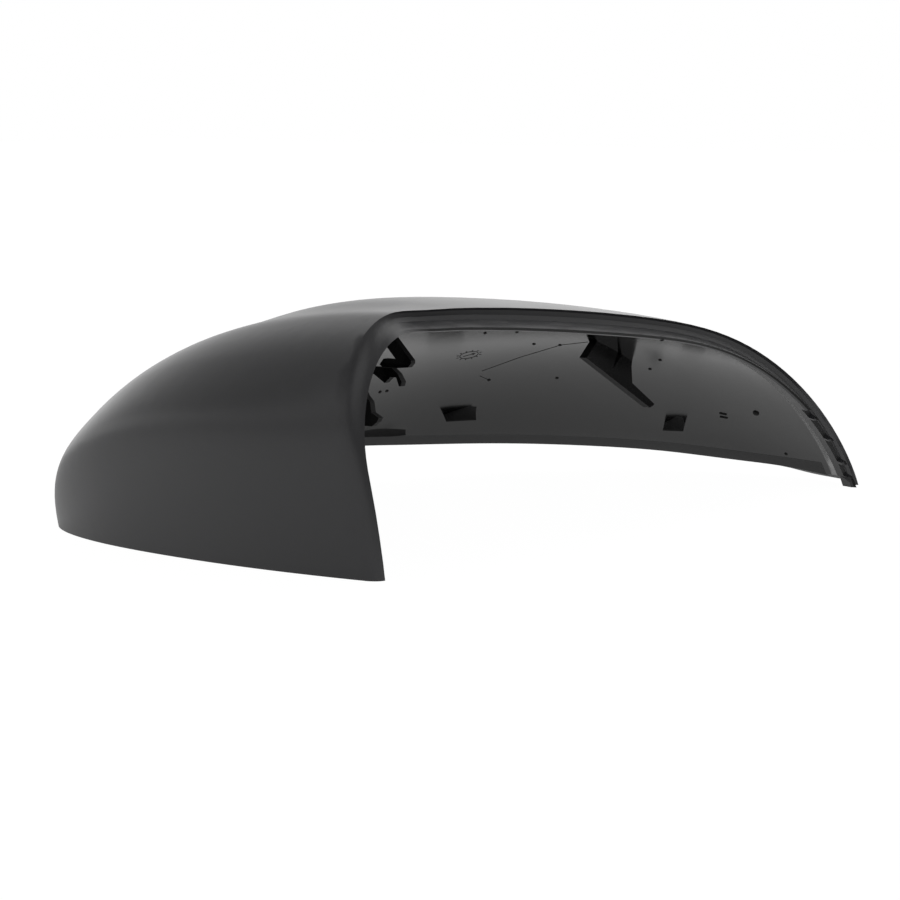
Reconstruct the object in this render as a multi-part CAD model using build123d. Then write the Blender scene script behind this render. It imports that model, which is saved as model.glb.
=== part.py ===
from build123d import *
import math
import os

# Car wing mirror cover, the cap over the upper half of a left-hand mirror head.
# x runs inboard, y forward and z up; all sizes are in millimetres.

# Overall form
rim_width = 216.0       # rear rim, outboard foot to inboard tip
rim_height = 61.0       # rear rim, parting edge to crest
dome_depth = 130.0      # rear rim to the pole of the dome
wall = 2.6              # moulded wall
fan_inboard = 69.0      # fan axis, inboard of the outboard foot
fan_drop = 42.0         # fan axis, below the parting edge
fan_hub = 26.0          # radius kept free round the fan axis
swell_height = 10.0     # full height of the swell forward of the rim
swell_reach = 45.0      # how far forward the swell runs
section_count = 28      # lofted sections from foot to tip
end_step = 0.004        # share of the rim between the last two sections at either end
ease_span = 0.03        # share of the rim over which a station fades into the next
dome_points = 9         # points on each dome curve

# Rear rim seen from behind, as shares of width and height, from foot to tip
rim_shape = [
    (0.006, -0.164),
    (0.003, 0.066),
    (-0.013, 0.330),
    (-0.031, 0.605),
    (-0.018, 0.833),
    (0.015, 0.969),
    (0.074, 1.003),
    (0.278, 0.972),
    (0.510, 0.887),
    (0.695, 0.760),
    (0.857, 0.503),
    (0.959, 0.209),
    (1.002, 0.003),
    (1.019, -0.164),
]

# Along the rim: share of its length, boxiness of the dome, share of the swell
stations = [
    (0.00, 3.13, 0.24),
    (0.12, 3.27, 0.48),
    (0.19, 2.74, -0.20),
    (0.25, 2.36, -0.22),
    (0.33, 2.31, 0.24),
    (0.45, 2.43, 0.30),
    (0.75, 2.75, 0.30),
    (0.88, 2.92, 0.40),
    (1.00, 3.06, 0.95),
]

# Rear rim profile
crest_start = 0.205     # share of the rim where the outboard roll turns into a cove
crest_full = 0.275      # share of the rim where the cove is at its full depth
roll_width = 4.0        # outboard roll at the foot, inward from the crest
roll_swell = 1.4        # added to its width at the shoulder
roll_swell_start = 0.06
roll_swell_full = 0.14
roll_reach = 2.8        # outboard roll, rearward of the crest
flange_width = 5.2      # flange edge, inward from the crest
flange_reach = 2.4      # flange edge, rearward of the crest
tip_start = 0.80        # share of the rim where the flange starts to narrow
tip_width = 4.4         # flange edge at the inboard tip, inward from the crest
lip = 1.5               # thickness of the flange edge
lip_lean = 20.0         # lean of the lip in degrees
land = 7.0              # depth of the thickened rim

# From crest to flange edge, as shares of its width inward and its reach rearward
roll_shape = [(0.14, 0.42), (0.34, 0.72), (0.56, 0.88), (0.80, 0.97)]
cove_shape = [(0.12, -0.32), (0.34, -0.48), (0.57, -0.38), (0.75, 0.04)]

# Notches in the flange at the inboard tip
notch_spans = [(24.4, 20.8), (19.9, 12.9), (12.0, 5.8), (5.0, 2.2)]     # from the inboard tip
notch_skin = 2.7        # left between the crest and a notch
notch_depth = 3.0       # forward of the flange edge

# Parting edge seen from behind, as shares of rim width and arch rise, from the outboard foot
arch_rise = 10.4        # height of the front edge above the feet
arch_slant = 0.35       # inboard shift of the arch per unit forward
arch_shape = [
    (0.023, 0.0),
    (0.370, 1.0),
    (0.500, 0.918),
    (0.662, 0.774),
    (0.800, 0.625),
    (0.889, 0.486),
    (0.954, 0.325),
    (0.985, 0.220),
    (1.010, 0.075),
]
foot_length = 6.0       # foot left under the inboard tip
foot_depth = 2.5        # its depth, forward of the rear rim
lap_height = 3.0        # height of the lap inside the parting edge
lap_depth = 1.2         # depth of the lap into the wall

# Locating blade across the roof: two legs and a free tongue; drop is below the roof
blade_forward = 48.0        # its plane, from the rear rim
blade_back = 33.0           # its tip, from the inboard tip
blade_thickness = 2.4
blade_length = 32.6         # tip to outboard corner
blade_corner_drop = 5.6
blade_root = 26.8           # outboard end at the roof, from the tip
blade_tip_drop = 6.8
blade_tip_height = 2.1
blade_tongue = 10.8         # free length of the tongue
blade_tongue_drop = 5.8     # root of the tongue
blade_leg = 4.2             # inboard leg at the roof
blade_slit = 2.2            # slit between the legs, at the roof
blade_slit_drop = 5.4

# Clips that hang from the roof behind the outboard shoulder; drop is below the rim height
clip_thickness = 1.6
hook_inboard = 20.0
hook_rear = 1.7         # toe, forward of the rear rim
hook_drop = 11.6
hook_strap = 4.5        # width of the slanting strap
hook_foot = 9.5         # length of the foot
hook_foot_height = 2.4
arm_inboard = 16.0
arm_rear = 1.2
arm_drop = 13.2
arm_length = 12.0
arm_height = 1.7
arm_droop = 4.1         # how far the rear end of the arm curls down
arm_stem = 3.5
arm_barb = 1.9          # barb under the arm
leg_inboard = 9.0
leg_rear = 2.3          # tooth, forward of the rear rim
leg_drop = 26.2         # foot of the leg
leg_tooth = 2.1         # height of the tooth
leg_neck = 4.4
leg_width = 9.0

# Scooped stop ramps on the inner face: flush at the top, standing off at the lower edge
ramp_stand = 2.7
front_ramp_back = 57.5      # middle, from the inboard tip
front_ramp_level = 18.5     # lower edge
front_ramp_length = 9.5
front_ramp_height = 4.3
end_ramp_forward = 53.4
end_ramp_level = 15.0
end_ramp_length = 6.2
end_ramp_height = 4.6
sill_back = 80.0
sill_level = 13.6
sill_length = 20.0
sill_height = 2.8
sill_stand = 1.3

os.makedirs("parts", exist_ok=True)

rim = Spline(*[(x * rim_width, 0, z * rim_height) for x, z in rim_shape])
fan_axis = Vector(fan_inboard, 0, -fan_drop)
far = 2 * rim_width
up = Vector(0, 0, 1)
forward = Vector(0, 1, 0)
inboard = Vector(1, 0, 0)


def mix(a, b, weight):
    return a + (b - a) * weight


def blend(low, high, value):
    t = min(max((value - low) / (high - low), 0.0), 1.0)
    return t * t * (3 - 2 * t)


# Last value before the test fails, between low and high
def search(low, high, test):
    for _ in range(40):
        middle = (low + high) / 2
        low, high = (middle, high) if test(middle) else (low, middle)
    return low


# Value of one column of the stations, on a smooth curve through them
def station_value(column, share):
    xs = [row[0] for row in stations]
    ys = [row[column] for row in stations]
    last = len(xs) - 1
    k = max(i for i in range(last) if xs[i] <= share)
    slopes = []
    for i in (k, k + 1):
        a, b = max(i - 1, 0), min(i + 1, last)
        slopes.append((ys[b] - ys[a]) / (xs[b] - xs[a]))
    step = xs[k + 1] - xs[k]
    t = (share - xs[k]) / step
    start = ys[k] * (1 + 2 * t) * (1 - t) ** 2 + slopes[0] * step * t * (1 - t) ** 2
    end = ys[k + 1] * t * t * (3 - 2 * t) + slopes[1] * step * t * t * (t - 1)
    return start + end


def eased(column, share):
    spread = [share + ease_span * i / 4 for i in range(-4, 5)]
    return sum(station_value(column, min(max(s, 0.0), 1.0)) for s in spread) / len(spread)


# One section of the fan; its points are (radius from the fan axis, distance forward)
class Section:
    def __init__(self, share):
        self.share = share
        spoke = rim @ share - fan_axis
        self.reach = spoke.length
        self.outward = spoke.normalized()
        self.boxiness = eased(1, share)
        self.swell = swell_height * eased(2, share)
        self.last = search(0.3, math.pi / 2, lambda angle: self.dome(angle)[0] > fan_hub)

    def dome(self, angle):
        n = self.boxiness
        size = (math.cos(angle) ** n + math.sin(angle) ** n) ** (-1 / n)
        depth = dome_depth * size * math.sin(angle)
        fade = max(1 - depth / swell_reach, 0.0) ** 2
        return ((self.reach + self.swell) * size * math.cos(angle) - self.swell * fade, depth)

    def inset(self, angle, depth):
        r0, y0 = self.dome(max(angle - 1e-4, 0.0))
        r1, y1 = self.dome(angle + 1e-4)
        length = math.hypot(r1 - r0, y1 - y0)
        r, y = self.dome(angle)
        return (r - depth * (y1 - y0) / length, y + depth * (r1 - r0) / length)

    def skin(self, first, depth):
        angles = [mix(first, self.last, i / (dome_points - 1)) for i in range(dome_points)]
        return [self.inset(angle, depth) for angle in angles]

    def place(self, point):
        return fan_axis + self.outward * point[0] + forward * point[1]

    def curve(self, points):
        even = [i / (len(points) - 1) for i in range(len(points))]
        return Edge.make_spline([self.place(p) for p in points], parameters=even)

    def lines(self, points):
        return [Edge.make_line(self.place(a), self.place(b)) for a, b in zip(points, points[1:])]

    # Closed wall section: dome, inner face, lip, then the cove or roll up to the crest
    def wall_wire(self):
        step = blend(crest_start, crest_full, self.share)
        narrow = blend(tip_start, 1.0, self.share)
        roll = roll_width + roll_swell * blend(roll_swell_start, roll_swell_full, self.share)
        width = mix(mix(roll, flange_width, step), tip_width, narrow)
        reach = mix(roll_reach, flange_reach, step)
        outer = self.skin(0.0, 0.0)
        crest = outer[0][0]
        profile = [outer[0]]
        for a, b in zip(roll_shape, cove_shape):
            profile.append((crest - width * mix(a[0], b[0], step), -reach * mix(a[1], b[1], step)))
        edge = (crest - width, -reach)
        profile.append(edge)
        lean = math.radians(lip_lean)
        root = (edge[0] - lip * math.sin(lean), edge[1] + lip * math.cos(lean))
        profile.append(root)
        inner = self.skin(search(0.0, 1.0, lambda angle: self.dome(angle)[1] < land), wall)
        knee = (mix(root[0], inner[0][0], 0.3), mix(root[1], inner[0][1], 0.5))
        return Wire([
            self.curve(outer),
            *self.lines([outer[-1], inner[-1]]),
            self.curve(inner[::-1]),
            *self.lines([inner[0], knee] + profile[::-1]),
        ])

    # Closed section of everything inside a skin that lies the given depth below the dome
    def core_wire(self, depth):
        skin = self.skin(0.0, depth)
        front = (fan_hub / 2, skin[-1][1])
        rear = (fan_hub / 2, skin[0][1])
        return Wire([self.curve(skin), *self.lines([skin[-1], front, rear, skin[0]])])


shares = [i / section_count for i in range(section_count + 1)]
shares[1:1] = [end_step]
shares[-1:-1] = [1 - end_step]
sections = [Section(share) for share in shares]
cover = Solid.make_loft([s.wall_wire() for s in sections])
wall_faces = cover.shell()


# First place where a line from inside the cover meets the inner face, and its normal
def inner_face(start, direction):
    start = Vector(*start)
    meets = wall_faces.find_intersection_points(Axis(start, direction))
    point, normal = min(
        (meet for meet in meets if (meet[0] - start).dot(direction) > 0),
        key=lambda meet: (meet[0] - start).length,
    )
    return point, normal if normal.dot(direction) < 0 else -normal


def roof(x, y):
    return inner_face((x, y, 0), up)[0].Z


# Everything below the parting edge, raised by the given height
def below(height):
    edge_points = [(x * rim_width, z * arch_rise + height) for x, z in arch_shape]
    first, last = edge_points[0], edge_points[-1]
    edge = Spline(*edge_points, tangents=[(1, 0), (1, 0)])
    floor = Polyline(last, (far, last[1]), (far, -far), (-far, -far), (-far, first[1]), first)
    return extrude(Plane.XZ * make_face(edge + floor), amount=far, dir=(arch_slant, 1, 0), both=True)


# Upright plate through a point, its outline in distances along a level direction and up
def plate(point, along, outline, thickness):
    plane = Plane(origin=point, x_dir=along, z_dir=along.cross(up))
    return extrude(plane * make_face(outline), amount=thickness / 2, both=True)


# Blade across the roof: two legs with a slit between them, and a tongue that runs inboard
def locating_blade():
    def under(back, drop):
        x = rim_width - blade_back - back
        return (x, roof(x, blade_forward) - drop)

    heel = 0.2 * blade_tongue
    leg = blade_tongue + blade_leg
    outline = Polyline(
        under(blade_length, blade_corner_drop),
        under(heel, blade_tip_drop + blade_tip_height),
        under(0.25 * heel, blade_tip_drop + 0.35 * blade_tip_height),
        under(0, blade_tip_drop),
        under(blade_tongue, blade_tongue_drop),
        under(blade_tongue + 0.2 * heel, 0.25 * blade_tongue_drop),
        under(blade_tongue, -wall / 2),
        under(leg, -wall / 2),
        under(leg + 2.4 * blade_slit, blade_slit_drop),
        under(leg + blade_slit, -wall / 2),
        under(blade_root, -wall / 2),
        close=True,
    )
    return plate(forward * blade_forward, inboard, outline, blade_thickness)


# Hook: a slanting strap from the roof to a toe, and a foot that runs forward from it
def roof_hook():
    level = rim_height - hook_drop
    top = roof(hook_inboard, hook_rear + hook_drop) + wall / 2
    rise = top - level
    sole = level - hook_foot_height
    outline = Polyline(
        (hook_rear + rise, top),
        (hook_rear, level),
        (hook_rear, level - 0.3 * hook_foot_height),
        (hook_rear + 0.4 * hook_foot_height, mix(level, sole, 0.7)),
        (hook_rear + hook_foot - 0.6 * hook_foot_height, sole),
        (hook_rear + hook_foot, mix(level, sole, 0.6)),
        (hook_rear + hook_foot - 0.5 * hook_foot_height, level),
        (hook_rear + hook_strap, level),
        (hook_rear + hook_strap + rise, top),
        close=True,
    )
    return plate(inboard * hook_inboard, forward, outline, clip_thickness)


# Arm: a stem from the roof and a bar that runs rearward and curls down at its end
def curled_arm():
    level = rim_height - arm_drop
    stem = arm_rear + arm_length
    top = roof(arm_inboard, stem) + wall / 2
    under = level - arm_height
    outline = Polyline(
        (stem, top),
        (stem, level),
        (arm_rear + 0.25 * arm_length, level),
        (arm_rear + 0.1 * arm_length, level - 0.3 * arm_droop),
        (arm_rear, level - 0.75 * arm_droop),
        (arm_rear + 0.2 * arm_height, level - arm_droop),
        (arm_rear + 0.5 * arm_height, level - arm_droop),
        (arm_rear + 0.14 * arm_length, under - 0.1 * arm_droop),
        (arm_rear + 0.28 * arm_length, under - 0.1 * arm_droop),
        (arm_rear + 0.43 * arm_length, under - arm_barb),
        (arm_rear + 0.7 * arm_length, under),
        (stem + arm_stem, under),
        (stem + arm_stem, top),
        close=True,
    )
    return plate(inboard * arm_inboard, forward, outline, clip_thickness)


# Leg: hangs down the shoulder and ends in a tooth that points rearward
def toothed_leg():
    sole = rim_height - leg_drop
    front = leg_rear + leg_width
    top = roof(leg_inboard, front) + wall / 2
    neck = leg_rear + 0.5 * leg_neck
    outline = Polyline(
        (neck + leg_neck, top),
        (neck + leg_neck, sole + 5.5 * leg_tooth),
        (neck + 0.4 * leg_neck, sole + 3.3 * leg_tooth),
        (neck + 0.1 * leg_neck, sole + 2.7 * leg_tooth),
        (neck, sole + 1.5 * leg_tooth),
        (leg_rear, sole + leg_tooth),
        (leg_rear + 0.3 * leg_tooth, sole + 0.5 * leg_tooth),
        (leg_rear + leg_tooth, sole),
        (front, sole),
        (front, top),
        close=True,
    )
    return plate(inboard * leg_inboard, forward, outline, clip_thickness)


# Ramp on the inner face, its end towards the outboard side tapered over a share of its length
def stop_ramp(start, direction, length, height, stand, taper):
    foot, normal = inner_face(start, direction)
    face = Plane(origin=foot, x_dir=up.cross(normal), z_dir=normal)
    side = Plane(origin=foot, x_dir=face.y_dir, z_dir=face.x_dir)
    root = -wall / 2
    scoop = TangentArc((height, 0), (0, stand), tangent=(-1, 0))
    base = Polyline((0, stand), (0, root), (height, root), (height, 0))
    plan = Polyline(
        (-length / 2, 0),
        (length / 2, 0),
        (length / 2, height),
        (mix(-length / 2, length / 2, taper), height),
        close=True,
    )
    ramp = extrude(side * make_face(scoop + base), amount=length / 2, both=True)
    return ramp & extrude(face * make_face(plan), amount=stand + wall, both=True)


# Notches along the flange at the inboard tip, open to the rear and to the inside
def flange_notches():
    notches = []
    for span in notch_spans:
        first, last = [search(0.5, 1.0, lambda share: (rim @ share).X < rim_width - back) for back in span]
        middle = (first + last) / 2
        inward = (fan_axis - rim @ middle).normalized()
        place = rim @ middle + inward * (notch_skin + flange_width / 2) - forward * flange_reach
        plane = Plane(origin=place, x_dir=rim % middle, z_dir=forward)
        length = (rim @ last - rim @ first).length
        notches.append(plane * Box(length, flange_width, 2 * notch_depth))
    return notches


# Everything inside a skin that lies the given depth below the dome
def core(depth):
    return Solid.make_loft([s.core_wire(depth) for s in sections])


clips = [locating_blade(), roof_hook(), curled_arm(), toothed_leg()]
ramps = [
    stop_ramp(
        (rim_width - front_ramp_back, 0, front_ramp_level),
        forward,
        front_ramp_length,
        front_ramp_height,
        ramp_stand,
        0.95,
    ),
    stop_ramp(
        (fan_inboard, end_ramp_forward, end_ramp_level),
        inboard,
        end_ramp_length,
        end_ramp_height,
        ramp_stand,
        0.9,
    ),
    stop_ramp((rim_width - sill_back, 0, sill_level), forward, sill_length, sill_height, sill_stand, 0.1),
]
for piece in clips + ramps:
    cover += piece
past_land = Pos(0, land + lap_height + far, 0) * Box(2 * far, 2 * far, 2 * far)
cover -= core(wall - lap_depth) & below(lap_height) & past_land
inboard_foot = Pos(rim_width, 0, 0) * Box(2 * foot_length, 2 * foot_depth, far)
cover -= below(0) - inboard_foot
cover -= Pos(0, 0, -far / 2) * Box(2 * far, 2 * far, far)
for notch in flange_notches():
    cover -= notch

# The origin lies under the middle of the box, on the parting edge
points = cover.tessellate(0.05)[0]
middle_x = (min(p.X for p in points) + max(p.X for p in points)) / 2
middle_y = (min(p.Y for p in points) + max(p.Y for p in points)) / 2
mirror_cover = Pos(-middle_x, -middle_y, 0) * cover
export_step(mirror_cover, "parts/mirror_cover.step")
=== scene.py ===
import bpy
import bmesh
import math
from mathutils import Matrix, Vector
from mathutils.bvhtree import BVHTree
from mathutils.kdtree import KDTree


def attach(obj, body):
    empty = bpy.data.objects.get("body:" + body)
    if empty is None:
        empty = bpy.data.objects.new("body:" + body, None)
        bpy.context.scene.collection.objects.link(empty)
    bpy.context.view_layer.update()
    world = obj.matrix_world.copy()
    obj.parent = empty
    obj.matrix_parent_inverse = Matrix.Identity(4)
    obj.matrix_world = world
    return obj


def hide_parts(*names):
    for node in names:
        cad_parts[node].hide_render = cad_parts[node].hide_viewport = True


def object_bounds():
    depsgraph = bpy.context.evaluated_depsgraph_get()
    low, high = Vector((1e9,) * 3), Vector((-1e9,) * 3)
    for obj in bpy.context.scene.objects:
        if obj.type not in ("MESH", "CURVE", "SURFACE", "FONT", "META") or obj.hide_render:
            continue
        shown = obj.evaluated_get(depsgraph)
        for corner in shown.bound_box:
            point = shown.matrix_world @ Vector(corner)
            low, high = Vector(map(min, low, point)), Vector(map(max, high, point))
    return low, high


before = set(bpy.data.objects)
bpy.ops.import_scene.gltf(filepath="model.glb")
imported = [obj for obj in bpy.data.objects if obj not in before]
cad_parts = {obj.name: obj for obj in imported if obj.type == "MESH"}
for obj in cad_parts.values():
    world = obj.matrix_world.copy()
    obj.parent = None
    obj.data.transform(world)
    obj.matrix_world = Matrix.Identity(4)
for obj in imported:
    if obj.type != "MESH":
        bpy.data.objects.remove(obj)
cadLow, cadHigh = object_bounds()
mm = 0.001
print("frame loaded:", sorted(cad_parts))


def linear(hexText):                                     # sRGB hex to a linear colour
    values = [int(hexText[i:i + 2], 16) / 255 for i in (1, 3, 5)]
    return [v / 12.92 if v <= 0.04045 else ((v + 0.055) / 1.055) ** 2.4 for v in values] + [1.0]


def addNode(tree, kind, inputs={}, links={}, **settings):  # one node, its values and what feeds it
    node = tree.nodes.new(kind)
    for name, value in settings.items():
        setattr(node, name, value)
    for name, value in inputs.items():
        node.inputs[name].default_value = value
    for name, source in links.items():
        tree.links.new(source, node.inputs[name])
    return node


def newMaterial(name):
    material = bpy.data.materials.new(name)
    material.use_nodes = True
    material.node_tree.nodes.clear()
    return material, material.node_tree


def perMetre(sizeMm):                                    # texture scale for a feature of this size
    return 1 / (sizeMm * mm)


def between(span, ends):                                 # Map Range inputs: a span, the levels at its ends
    return {"From Min": span[0], "From Max": span[1], "To Min": ends[0], "To Max": ends[1]}


# Camera: behind the outboard corner and a little above, with a long lens
cameraPlace = {
    "turn": 51.5,                                        # degrees round from straight behind
    "lift": 6.9,                                         # degrees above the horizon
    "lens": 128.0,                                       # mm
    "sensor": 36.0,                                      # mm across
    "picture": 900,                                      # px each way
    "nearest": 0.01,                                     # m, nothing nearer is drawn
    "foot": (-106.94, -60.57, 0.0),                      # rear outboard foot, mm
    "eyeFromFoot": (-554.7, -466.4, 118.1),              # mm
}
turn, lift = math.radians(cameraPlace["turn"]), math.radians(cameraPlace["lift"])
gaze = Vector((math.sin(turn) * math.cos(lift), math.cos(turn) * math.cos(lift), -math.sin(lift)))
eye = (Vector(cameraPlace["foot"]) + Vector(cameraPlace["eyeFromFoot"])) * mm
cameraData = bpy.data.cameras.new("studioCamera")
cameraData.lens = cameraPlace["lens"]
cameraData.sensor_width = cameraPlace["sensor"]
cameraData.clip_start = cameraPlace["nearest"]
studioCamera = bpy.data.objects.new("studioCamera", cameraData)
studioCamera.location = eye
studioCamera.rotation_euler = gaze.to_track_quat("-Z", "Y").to_euler()
bpy.context.scene.collection.objects.link(studioCamera)
bpy.context.scene.camera = studioCamera
bpy.context.scene.view_settings.view_transform = "Standard"
print("camera placed")


absIor = 1.53                                            # refractive index of ABS, whatever its finish

# Spark-eroded ABS, the outside: a fine even grain breaks the gloss into a soft satin sheen
grainLook = {
    "colour": "#2b2b2d",
    "worn": "#303032",                                   # where handling has closed the grain
    "grain": 0.5,                                        # mm; real grit is near 0.2, drawn coarser to show
    "grainDetail": 3.0,
    "grainDepth": 0.012,                                 # mm
    "cloud": 45.0,                                       # mm, slow drift of tone and gloss
    "cloudDetail": 4.0,
    "roughness": (0.34, 0.42),
    "edge": "#030303",                                   # painted shade: the lip's rear edge drawn near black and matt
    "edgeRoughness": 0.95,
    "paintedShadeBand": (1.00, 1.25),                            # mm from the rearmost point over which it fades
    "paintedShadeStart": (18.0, 30.0),                           # mm from the outboard end over which it sets in
}
# The same grain on the lap, left flatter; its darker colour is painted shade, for the shadowed floor that
# the lap faces under the wall
shadedLapLook = dict(grainLook, colour="#101011", worn="#151516", roughness=(0.50, 0.60))
# The clips come from loose slides in the mould; their near-black dull look is partly the black plastic and
# partly painted shade, standing in for the dark reflections and shadows on them
clipAndShadeLook = dict(grainLook, colour="#070708", worn="#0a0a0b", roughness=(0.78, 0.88))


def grainedAbs(name, look):
    material, tree = newMaterial(name)
    place = addNode(tree, "ShaderNodeTexCoord").outputs["Object"]
    grain = addNode(tree, "ShaderNodeTexNoise",
                    {"Scale": perMetre(look["grain"]), "Detail": look["grainDetail"]}, {"Vector": place})
    cloud = addNode(tree, "ShaderNodeTexNoise",
                    {"Scale": perMetre(look["cloud"]), "Detail": look["cloudDetail"]}, {"Vector": place})
    skin = addNode(tree, "ShaderNodeMix", {"A": linear(look["colour"]), "B": linear(look["worn"])},
                   {"Factor": cloud.outputs["Fac"]}, data_type="RGBA")
    across = addNode(tree, "ShaderNodeSeparateXYZ", {}, {0: place}).outputs
    band = [cadLow.y + distance * mm for distance in look["paintedShadeBand"]]
    start = [cadLow.x + distance * mm for distance in look["paintedShadeStart"]]
    # painted shade: the lip's rearmost millimetre goes near black, fading in from the outboard end
    rear = addNode(tree, "ShaderNodeMapRange", between(band, (1.0, 0.0)), {"Value": across["Y"]})
    edge = addNode(tree, "ShaderNodeMapRange", between(start, (0.0, 1.0)),
                   {"Value": across["X"], "To Max": rear.outputs["Result"]})
    tone = addNode(tree, "ShaderNodeMix", {"B": linear(look["edge"])},
                   {"Factor": edge.outputs["Result"], "A": skin.outputs["Result"]}, data_type="RGBA")
    low, high = look["roughness"]
    gloss = addNode(tree, "ShaderNodeMapRange", {"To Min": low, "To Max": high},
                    {"Value": cloud.outputs["Fac"]})
    sheen = addNode(tree, "ShaderNodeMix", {"B": look["edgeRoughness"]},
                    {"Factor": edge.outputs["Result"], "A": gloss.outputs["Result"]})
    bump = addNode(tree, "ShaderNodeBump", {"Strength": 1.0, "Distance": look["grainDepth"] * mm},
                   {"Height": grain.outputs["Fac"]})
    shader = addNode(tree, "ShaderNodeBsdfPrincipled", {"IOR": absIor},
                     {"Base Color": tone.outputs["Result"], "Roughness": sheen.outputs["Result"],
                      "Normal": bump.outputs["Normal"]})
    addNode(tree, "ShaderNodeOutputMaterial", {}, {"Surface": shader.outputs["BSDF"]})
    return material


# Mould-polished ABS, the inside: black and glossy, so it mirrors the floor and its own walls
polishLook = {
    "colour": "#0b0b0c",
    "haze": "#101011",                                   # faint mould-release bloom
    "wave": 14.0,                                        # mm, flow ripple left by the mould
    "waveDetail": 1.0,
    "waveDepth": 0.02,                                   # mm
    "cloud": 30.0,                                       # mm
    "cloudDetail": 5.0,
    "roughness": (0.15, 0.21),
}


def polishedAbs():
    look = polishLook
    material, tree = newMaterial("mould_polished_abs")
    place = addNode(tree, "ShaderNodeTexCoord").outputs["Object"]
    wave = addNode(tree, "ShaderNodeTexNoise",
                   {"Scale": perMetre(look["wave"]), "Detail": look["waveDetail"]}, {"Vector": place})
    cloud = addNode(tree, "ShaderNodeTexNoise",
                    {"Scale": perMetre(look["cloud"]), "Detail": look["cloudDetail"]}, {"Vector": place})
    tone = addNode(tree, "ShaderNodeMix", {"A": linear(look["colour"]), "B": linear(look["haze"])},
                   {"Factor": cloud.outputs["Fac"]}, data_type="RGBA")
    low, high = look["roughness"]
    gloss = addNode(tree, "ShaderNodeMapRange", {"To Min": low, "To Max": high},
                    {"Value": cloud.outputs["Fac"]})
    bump = addNode(tree, "ShaderNodeBump", {"Strength": 1.0, "Distance": look["waveDepth"] * mm},
                   {"Height": wave.outputs["Fac"]})
    shader = addNode(tree, "ShaderNodeBsdfPrincipled", {"IOR": absIor},
                     {"Base Color": tone.outputs["Result"], "Roughness": gloss.outputs["Result"],
                      "Normal": bump.outputs["Normal"]})
    addNode(tree, "ShaderNodeOutputMaterial", {}, {"Surface": shader.outputs["BSDF"]})
    return material


# Cover: the solid's own mesh, welded and shaded smooth, grained outside and polished inside
shellLook = {
    "weld": 0.002,                                       # mm
    "crease": 14.0,                                      # degrees between surfaces that stay a crisp edge
    "rimCrease": 44.0,                                   # the same round the rear rim
    "rimBand": 7.0,                                      # mm of the rear rim that takes the outer grain
    "lapTop": 17.0,                                      # mm, the lap inside the edge stays below it
    "lapSpan": 120.0,                                    # mm, and is longer than this
    "rimReach": 4.0,                                     # mm over which the rim's normals are evened out
    "rimSoft": 20.0,                                     # degrees between strips that always run together
    "rimRound": (8.0, 26.0),                             # mm inboard over which the round roll turns crisp
    "clipAndShadeZones": [                                       # boxes round near-black dull surfaces, partly painted shade, mm from the foot
        ((7.5, -1.0, 30.0), (21.5, 19.0, 58.0)),         # hook, arm and leg
        ((148.0, 46.0, 20.0), (185.0, 50.0, 42.0)),      # blade
        ((124.0, 104.0, 11.0), (148.0, 114.0, 17.0)),    # sill
        ((186.0, 0.4, 2.5), (212.0, 0.8, 26.0)),         # floors of the notches, near black as painted shade in the recesses
    ],
    "rampZones": [                                       # the same, and shaded round over their edges
        ((152.0, 92.5, 15.5), (164.0, 101.0, 22.0)),     # ramp on the front wall
        ((199.5, 48.5, 12.0), (204.5, 57.5, 18.5)),      # ramp on the end wall
    ],
}
domeSurface = 0                                          # surfaces are numbered by area, the dome first


def faceIslands(mesh):                                   # groups of faces that share vertices
    left = set(mesh.faces)
    islands = []
    while left:
        island, queue = [], [left.pop()]
        while queue:
            face = queue.pop()
            island.append(face)
            near = {f for v in face.verts for f in v.link_faces} & left
            left -= near
            queue.extend(near)
        islands.append(island)
    return islands


def evenRimNormals(data, surfaces, rimSurfaces):         # corner normals that run on over the rim's strips
    limit, soft = [math.cos(math.radians(shellLook[name])) for name in ("rimCrease", "rimSoft")]
    start, end = [cadLow.x + distance * mm for distance in shellLook["rimRound"]]
    trees, members, touching = {}, {}, {}
    for face in data.polygons:
        members.setdefault(surfaces[face.index], []).append(face)
        for v in face.vertices:
            touching.setdefault(v, set()).add(surfaces[face.index])
    for strip in rimSurfaces | {domeSurface}:
        tree = KDTree(len(members[strip]))
        for i, face in enumerate(members[strip]):
            tree.insert(face.center, i)
        tree.balance()
        trees[strip] = tree

    def stripNormal(v, strip):                           # mean normal of one strip round a vertex
        spot = data.vertices[v].co
        found = trees[strip].find_range(spot, shellLook["rimReach"] * mm) or [trees[strip].find(spot)]
        near = [members[strip][i] for _, i, _ in found]
        return sum((face.normal * face.area for face in near), Vector()).normalized()

    known = {}
    normals = [Vector()] * len(data.loops)               # a zero vector leaves a corner as it is
    for face in data.polygons:
        own = surfaces[face.index]
        for corner in face.loop_indices:
            v = data.loops[corner].vertex_index
            strips = [i for i in touching[v] if i in trees]
            if own not in trees or (own == domeSurface and len(strips) < 2):
                continue
            for strip in strips:
                if (v, strip) not in known:
                    known[v, strip] = stripNormal(v, strip)
            share = min(max((end - data.vertices[v].co.x) / (end - start), 0.0), 1.0)
            blend = Vector()
            for strip in strips:
                match = known[v, strip].dot(known[v, own])
                blend += known[v, strip] * (1.0 if match > soft else share if match > limit else 0.0)
            normals[corner] = blend.normalized()
    data.normals_split_custom_set(normals)


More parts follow.
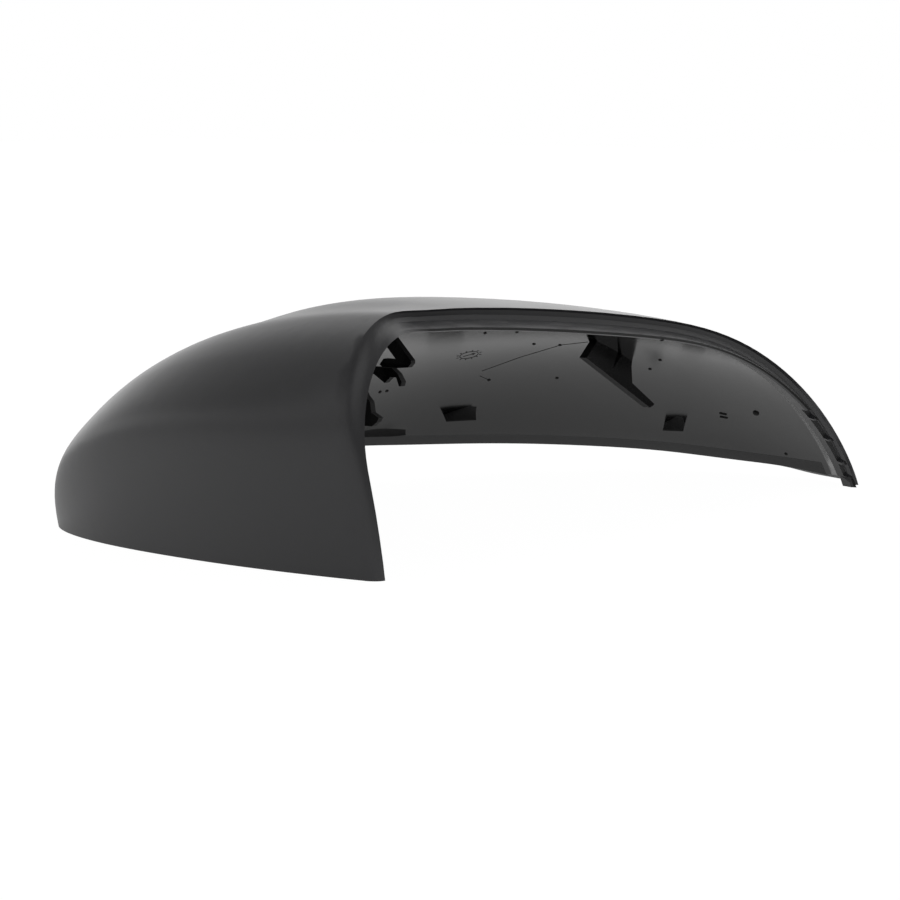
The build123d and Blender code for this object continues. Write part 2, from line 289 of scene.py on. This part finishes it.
def coverShell():
    outside, inside, lap, clip = range(4)                # material slots
    mesh = bmesh.new()
    mesh.from_mesh(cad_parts["mirror_cover"].data)
    surface = mesh.faces.layers.int.new("surface")
    islands = sorted(faceIslands(mesh), key=lambda faces: -sum(f.calc_area() for f in faces))
    rimEnd = cadLow.y + shellLook["rimBand"] * mm
    foot = Vector(cameraPlace["foot"])
    rimSurfaces, softSurfaces = set(), set()

    def inZone(low, high, zones):
        return any(all(low[k] > (foot[k] + a[k]) * mm and high[k] < (foot[k] + b[k]) * mm for k in range(3))
                   for a, b in zones)

    for i, island in enumerate(islands):
        spots = [v.co for f in island for v in f.verts]
        low = Vector([min(p[k] for p in spots) for k in range(3)])
        high = Vector([max(p[k] for p in spots) for k in range(3)])
        onRim = high.y < rimEnd
        onLap = high.z < shellLook["lapTop"] * mm and high.x - low.x > shellLook["lapSpan"] * mm
        onRamp = inZone(low, high, shellLook["rampZones"])
        onClip = onRamp or inZone(low, high, shellLook["clipAndShadeZones"])
        finish = clip if onClip else outside if i == domeSurface or onRim else lap if onLap else inside
        if finish == outside and i != domeSurface:
            rimSurfaces.add(i)
        if onRamp:
            softSurfaces.add(i)
        for face in island:
            face.material_index = finish
            face[surface] = i
            face.smooth = True
    bmesh.ops.remove_doubles(mesh, verts=mesh.verts, dist=shellLook["weld"] * mm)
    for edge in mesh.edges:
        sides = edge.link_faces
        grained = all(f.material_index == outside for f in sides)
        limit = shellLook["rimCrease"] if grained else shellLook["crease"]
        owners = {f[surface] for f in sides}
        joined = len(owners) == 1 or owners <= softSurfaces
        edge.smooth = len(sides) == 2 and (joined or edge.calc_face_angle() < math.radians(limit))
    mesh.faces.index_update()
    surfaces = [face[surface] for face in mesh.faces]
    mesh.faces.layers.int.remove(surface)
    data = bpy.data.meshes.new("cover_shell")
    mesh.to_mesh(data)
    mesh.free()
    if "custom_normal" in data.attributes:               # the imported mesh's own, unfit after the weld
        data.attributes.remove(data.attributes["custom_normal"])
    evenRimNormals(data, surfaces, rimSurfaces)
    data.materials.append(grainedAbs("spark_eroded_abs", grainLook))
    data.materials.append(polishedAbs())
    # painted shade: the lap's grain in a darker colour
    data.materials.append(grainedAbs("matt_lap_abs_painted_shade", shadedLapLook))
    data.materials.append(grainedAbs("dull_clip_abs_painted_shade", clipAndShadeLook))
    piece = bpy.data.objects.new("cover_shell", data)
    bpy.context.scene.collection.objects.link(piece)
    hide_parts("mirror_cover")
    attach(piece, "root")
    return piece


cover = coverShell()
print("cover shell:", len(cover.data.polygons), "faces")


# Moulding marks: small raised pips, witness lines, a pair of bars and a plain date dial on the inner skin
markLook = {                                             # places are pixels of the picture
    "pips": [(534, 344), (560, 345), (557, 378), (517, 332), (485, 333), (650, 369), (660, 360), (662, 340),
             (786, 454), (380, 392), (387, 391), (489, 380)],
    "pipSize": (0.55, 0.35),                             # mm, radius and height
    "studs": [(756, 413)],
    "studSize": (1.0, 0.7),
    "domeLeans": (0, 30, 55, 78),                        # degrees up a pip or stud at each of its rings
    "domeSides": 12,
    "lines": [[(482, 371), (521, 357), (561, 345), (588, 342)], [(480, 376), (489, 380)]],
    "lineStep": 3,                                       # px
    "lineSize": (0.26, 0.12),                            # mm, width and height
    "bars": [[(719.5, 413), (726.5, 414.5)], [(720, 416.5), (727.5, 418)]],
    "barSize": (0.55, 0.35),
    "beadSides": 6,                                      # facets across a line or bar
    "dial": (469, 355),
    "dialSize": 2.6,                                     # mm, radius of the ring
    "dialSteps": 36,
    "dialTicks": 12,
    "tickReach": (1.15, 1.28, 1.4),                      # shares of the radius
    "arrow": [[(0.65, 240), (0.05, 240), (0.65, 60)],    # share of the radius and degrees round
              [(0.45, 95), (0.68, 60), (0.45, 25)]],
    "sink": 0.03,                                        # mm let into the skin
}


def mouldMarks(carrier):
    skin = BVHTree.FromObject(carrier, bpy.context.evaluated_depsgraph_get())
    right = gaze.cross(Vector((0, 0, 1))).normalized()
    up = right.cross(gaze)
    focal = cameraPlace["lens"] / cameraPlace["sensor"] * cameraPlace["picture"]
    middle = cameraPlace["picture"] / 2
    mesh = bmesh.new()

    def seen(x, y):                                      # where the skin shows at a pixel, and its normal
        way = gaze + right * ((x - middle) / focal) + up * ((middle - y) / focal)
        return skin.ray_cast(eye, way.normalized())[:2]

    def seenAlong(corners):                              # the same along a line of pixels
        path = []
        for (x0, y0), (x1, y1) in zip(corners, corners[1:]):
            steps = max(int(math.dist((x0, y0), (x1, y1)) / markLook["lineStep"]), 2)
            path += [seen(x0 + (x1 - x0) * i / steps, y0 + (y1 - y0) * i / steps) for i in range(steps)]
        return path + [seen(*corners[-1])]

    def closeRings(rings):                               # skin between rings of vertices, both ends shut
        for a, b in zip(rings, rings[1:]):
            for k in range(len(a)):
                mesh.faces.new((a[k - 1], a[k], b[k], b[k - 1]))
        mesh.faces.new(rings[0])
        mesh.faces.new(rings[-1][::-1])

    def dome(place, size):
        spot, normal = place
        side = normal.orthogonal().normalized()
        sides = markLook["domeSides"]
        rings = []
        for lean in markLook["domeLeans"]:
            reach, rise = size[0] * math.cos(math.radians(lean)), size[1] * math.sin(math.radians(lean))
            proud = normal * (rise - markLook["sink"])
            ring = [Matrix.Rotation(math.tau * k / sides, 3, normal) @ side * reach for k in range(sides)]
            rings.append([mesh.verts.new(spot + (p + proud) * mm) for p in ring])
        closeRings(rings)

    def bead(path, size):
        turns = [math.pi * k / markLook["beadSides"] for k in range(markLook["beadSides"] + 1)]
        rings = []
        for i, (spot, normal) in enumerate(path):
            along = path[min(i + 1, len(path) - 1)][0] - path[max(i - 1, 0)][0]
            side = along.cross(normal).normalized() * size[0] / 2
            ring = [side * math.cos(a) + normal * (size[1] * math.sin(a) - markLook["sink"]) for a in turns]
            rings.append([mesh.verts.new(spot + p * mm) for p in ring])
        closeRings(rings)

    for pixel in markLook["pips"]:
        dome(seen(*pixel), markLook["pipSize"])
    for pixel in markLook["studs"]:
        dome(seen(*pixel), markLook["studSize"])
    for corners in markLook["lines"]:
        bead(seenAlong(corners), markLook["lineSize"])
    for corners in markLook["bars"]:
        bead(seenAlong(corners), markLook["barSize"])
    centre, normal = seen(*markLook["dial"])
    side = (Vector((1, 0, 0)) - normal * normal.x).normalized()

    def onDial(reach, degrees):                          # a place on the skin round the dial's centre
        arm = Matrix.Rotation(math.radians(degrees), 3, normal) @ side
        return skin.find_nearest(centre + arm * reach * markLook["dialSize"] * mm)[:2]

    steps, ticks = markLook["dialSteps"], markLook["dialTicks"]
    bead([onDial(1.0, 360 * k / steps) for k in range(steps + 1)], markLook["lineSize"])
    for k in range(ticks):
        bead([onDial(reach, 360 * k / ticks) for reach in markLook["tickReach"]], markLook["lineSize"])
    for stroke in markLook["arrow"]:
        bead([onDial(*place) for place in stroke], markLook["lineSize"])
    bmesh.ops.recalc_face_normals(mesh, faces=mesh.faces)
    data = bpy.data.meshes.new("mould_marks")
    mesh.to_mesh(data)
    mesh.free()
    # the marks take the near-black clip look, partly painted shade
    data.materials.append(bpy.data.materials["dull_clip_abs_painted_shade"])
    piece = bpy.data.objects.new("mould_marks", data)
    bpy.context.scene.collection.objects.link(piece)
    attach(piece, "root")
    return piece


marks = mouldMarks(cover)
print("moulding marks:", len(marks.data.polygons), "faces")


# Studio: a white sweep under and beyond the part, three soft lights and a dim room behind
studio = {
    "white": "#ffffff",
    "black": "#000000",
    "floorSize": 6.0,                                    # m
    "floorColour": "#f4f4f4",
    "floorShadow": 0.04,                                 # share of its tone that takes shadow, as seen
    "mirrorShadow": 0.55,                                # the same in reflections
    "floorGlow": 1.03,                                   # the rest of it, level as seen
    "sweepEnd": (0.0, 0.10),                             # m behind the part over which the sweep falls dark
    "sweepDark": 0.20,
    "sweepSide": (0.02, 0.25),                           # m outboard of the part over which it falls off
    "sweepDim": 0.45,
    "backdrop": 1.7,                                     # level of the white surround low down
    "backdropTop": (0.10, 0.34),                         # rise over which it fades, as a sine
    "ceiling": 0.56,                                     # level overhead
    "behind": 0.20,                                      # level of the dim side, straight behind
    "behindEdge": (-0.05, 0.50),                         # turn over which it falls dim, as a cosine
    "outboard": 0.5,                                     # share of it left on the outboard side
    "outboardEdge": (-0.70, -0.15),                      # turn over which it falls, as a sine
    "softboxes": [                                       # level, way to it, cosines of its edge and core
        (1.4, (0.86, 0.05, 0.50), (0.75, 0.96)),
        (0.6, (0.33, 0.88, 0.35), (0.92, 0.99)),
        (0.75, (-0.30, -0.94, 0.15), (0.55, 0.95)),
    ],
}


def paleFloor():
    material, tree = newMaterial("white_studio_floor")
    rays = addNode(tree, "ShaderNodeLightPath").outputs
    place = addNode(tree, "ShaderNodeNewGeometry").outputs["Position"]
    across = addNode(tree, "ShaderNodeSeparateXYZ", {}, {0: place}).outputs
    near, far = [cadLow.y - distance for distance in studio["sweepEnd"]]
    rear = addNode(tree, "ShaderNodeMapRange", between((far, near), (studio["sweepDark"], 1.0)),
                   {"Value": across["Y"]}, interpolation_type="SMOOTHSTEP").outputs["Result"]
    near, far = [cadLow.x - distance for distance in studio["sweepSide"]]
    side = addNode(tree, "ShaderNodeMapRange", between((far, near), (studio["sweepDim"], 1.0)),
                   {"Value": across["X"]}, interpolation_type="SMOOTHSTEP").outputs["Result"]
    sweep = addNode(tree, "ShaderNodeMath", {}, {0: rear, 1: side}, operation="MULTIPLY").outputs[0]
    tone = addNode(tree, "ShaderNodeMath", {}, {0: sweep, 1: rays["Is Camera Ray"]},
                   operation="MAXIMUM").outputs[0]       # pale all over as seen
    mirrored = addNode(tree, "ShaderNodeMath", {},
                       {0: rays["Is Glossy Ray"], 1: rays["Is Transmission Ray"]}, operation="MAXIMUM")
    mirrorShare = addNode(tree, "ShaderNodeMath", {1: 1 - studio["mirrorShadow"]}, {0: mirrored.outputs[0]},
                          operation="MULTIPLY")
    share = addNode(tree, "ShaderNodeMath", {1: 1 - studio["floorShadow"]},
                    {0: rays["Is Camera Ray"], 2: mirrorShare.outputs[0]}, operation="MULTIPLY_ADD")
    paint = addNode(tree, "ShaderNodeMix",
                    {"A": linear(studio["black"]), "B": linear(studio["floorColour"])},
                    {"Factor": tone}, data_type="RGBA")
    level = addNode(tree, "ShaderNodeMath", {1: studio["floorGlow"]}, {0: tone}, operation="MULTIPLY")
    matt = addNode(tree, "ShaderNodeBsdfDiffuse", {}, {"Color": paint.outputs["Result"]})
    glow = addNode(tree, "ShaderNodeEmission", {"Color": linear(studio["white"])},
                   {"Strength": level.outputs[0]})
    mixed = addNode(tree, "ShaderNodeMixShader", {},
                    {"Fac": share.outputs[0], 1: matt.outputs[0], 2: glow.outputs[0]})
    addNode(tree, "ShaderNodeOutputMaterial", {}, {"Surface": mixed.outputs[0]})
    material.cycles.emission_sampling = "NONE"           # it glows only for the rays that see it
    half = studio["floorSize"] / 2
    corners = [(-half, -half, 0), (half, -half, 0), (half, half, 0), (-half, half, 0)]
    data = bpy.data.meshes.new("studio_floor")
    data.from_pydata(corners, [], [(0, 1, 2, 3)])
    data.materials.append(material)
    floor = bpy.data.objects.new("studio_floor", data)
    floor.location.z = cadLow.z
    bpy.context.scene.collection.objects.link(floor)


def whiteRoom():
    world = bpy.data.worlds.new("white_room")
    bpy.context.scene.world = world
    world.use_nodes = True
    tree = world.node_tree
    tree.nodes.clear()
    rays = addNode(tree, "ShaderNodeLightPath").outputs
    direction = addNode(tree, "ShaderNodeTexCoord").outputs["Generated"]
    parts = addNode(tree, "ShaderNodeSeparateXYZ", {}, {0: direction}).outputs
    surround = addNode(tree, "ShaderNodeMapRange",
                       between(studio["backdropTop"], (studio["backdrop"], studio["ceiling"])),
                       {"Value": parts["Z"]}, interpolation_type="SMOOTHSTEP").outputs["Result"]
    low, high = studio["behindEdge"]
    behind = addNode(tree, "ShaderNodeMapRange", between((-high, -low), (1.0, 0.0)), {"Value": parts["Y"]},
                     interpolation_type="SMOOTHSTEP").outputs["Result"]
    outboard = addNode(tree, "ShaderNodeMapRange",
                       between(studio["outboardEdge"], (studio["outboard"], 1.0)),
                       {"Value": parts["X"]}, interpolation_type="SMOOTHSTEP").outputs["Result"]
    beyond = addNode(tree, "ShaderNodeMath", {}, {0: surround, 1: outboard}, operation="MULTIPLY")
    total = addNode(tree, "ShaderNodeMix", {"B": studio["behind"]},
                    {"Factor": behind, "A": beyond.outputs[0]}).outputs["Result"]
    for level, way, edge in studio["softboxes"]:
        aim = addNode(tree, "ShaderNodeVectorMath", {1: way}, {0: direction}, operation="DOT_PRODUCT")
        lobe = addNode(tree, "ShaderNodeMapRange", between(edge, (0.0, level)),
                       {"Value": aim.outputs["Value"]}, interpolation_type="SMOOTHSTEP").outputs["Result"]
        total = addNode(tree, "ShaderNodeMath", {}, {0: total, 1: lobe}, operation="ADD").outputs[0]
    white = linear(studio["white"])
    room = addNode(tree, "ShaderNodeBackground", {"Color": white}, {"Strength": total})
    seen = addNode(tree, "ShaderNodeBackground", {"Color": white, "Strength": 1.0})
    mixed = addNode(tree, "ShaderNodeMixShader", {},
                    {"Fac": rays["Is Camera Ray"], 1: room.outputs[0], 2: seen.outputs[0]})
    addNode(tree, "ShaderNodeOutputWorld", {}, {"Surface": mixed.outputs[0]})


paleFloor()
whiteRoom()
print("studio lit")
